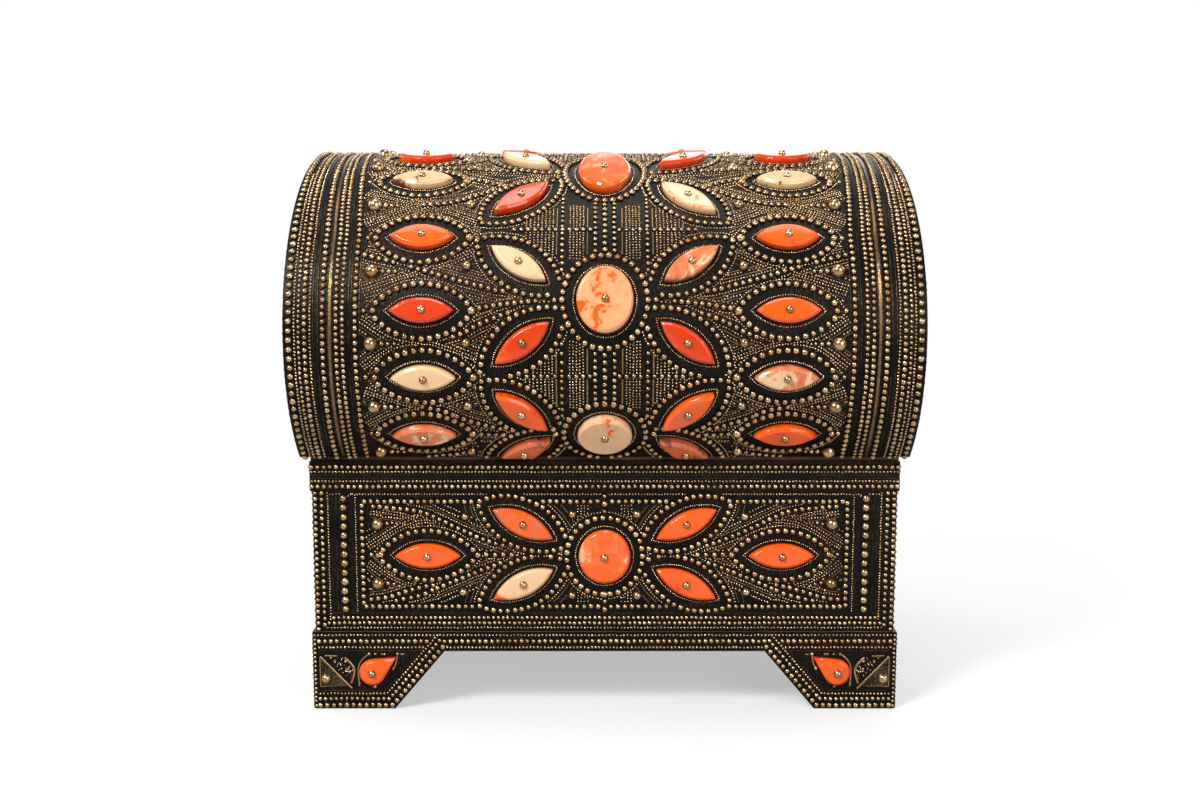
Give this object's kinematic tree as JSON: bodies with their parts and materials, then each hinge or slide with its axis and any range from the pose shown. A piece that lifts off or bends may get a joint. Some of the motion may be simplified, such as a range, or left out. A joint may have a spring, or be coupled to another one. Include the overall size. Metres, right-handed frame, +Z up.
{
  "type": "dowry chest",
  "caption": "Table-top dowry chest with a domed, hinged lid, bracket feet and beaded metal cladding set with pointed and oval cabochons.",
  "frame": {"origin": "on the floor, under the middle of the chest", "axes": "+X to the chest's right as seen from the front, +Y to the back where the hinges are, +Z up"},
  "size_m": [0.3324, 0.2718, 0.3041],
  "materials": {
    "carcass_wood": "bare, darkened with age",
    "embossed_metal": "blackened patina, worn to brass on the raised beads",
    "hinge_brass": "aged brass",
    "orange_stone": "polished cabochon",
    "red_stone": "polished cabochon",
    "cream_stone": "polished cabochon",
    "peach_stone": "polished, mottled cabochon",
    "mottled_coral_stone": "polished, mottled cabochon"
  },
  "bodies": {
    "chest": {"bottom_board": "carcass_wood", "front_board": "carcass_wood", "back_board": "carcass_wood", "left_board": "carcass_wood", "right_board": "carcass_wood", "front_rim_rail": "carcass_wood", "back_rim_rail": "carcass_wood", "left_rim_rail": "carcass_wood", "right_rim_rail": "carcass_wood", "front_apron": "carcass_wood", "back_apron": "carcass_wood", "left_apron": "carcass_wood", "right_apron": "carcass_wood", "corner_blocks": "carcass_wood", "front_skin": "embossed_metal", "back_skin": "embossed_metal", "left_skin": "embossed_metal", "right_skin": "embossed_metal", "rim_band": "embossed_metal", "plinth_band": "embossed_metal", "front_medallion": "mottled_coral_stone", "front_orange_stones": "orange_stone", "front_coral_stone": "mottled_coral_stone", "front_cream_stone": "cream_stone", "foot_drops": "orange_stone", "end_panel_stones": "orange_stone", "left_hinge_body_leaf": "hinge_brass", "right_hinge_body_leaf": "hinge_brass", "hinge_pins": "hinge_brass"},
    "lid": {"lid_stave_01": "carcass_wood", "lid_stave_02": "carcass_wood", "lid_stave_03": "carcass_wood", "lid_stave_04": "carcass_wood", "lid_stave_05": "carcass_wood", "lid_stave_06": "carcass_wood", "lid_stave_07": "carcass_wood", "lid_stave_08": "carcass_wood", "lid_stave_09": "carcass_wood", "lid_stave_10": "carcass_wood", "lid_stave_11": "carcass_wood", "lid_left_gable": "carcass_wood", "lid_right_gable": "carcass_wood", "lid_front_batten": "carcass_wood", "lid_back_batten": "carcass_wood", "lid_left_batten": "carcass_wood", "lid_right_batten": "carcass_wood", "lid_skin": "embossed_metal", "lid_left_gable_skin": "embossed_metal", "lid_right_gable_skin": "embossed_metal", "lid_medallions": "peach_stone", "lid_orange_stones": "orange_stone", "lid_red_stones": "red_stone", "lid_cream_stones": "cream_stone", "lid_coral_stones": "mottled_coral_stone", "left_hinge_lid_leaf": "hinge_brass", "right_hinge_lid_leaf": "hinge_brass"}
  },
  "joints": [
    {"name": "lid_hinge", "type": "hinge", "parent": "chest", "child": "lid", "pos_m": [0, 0.0992, 0.13695], "axis": [-1, 0, 0], "range_deg": [0, 110]}
  ]
}
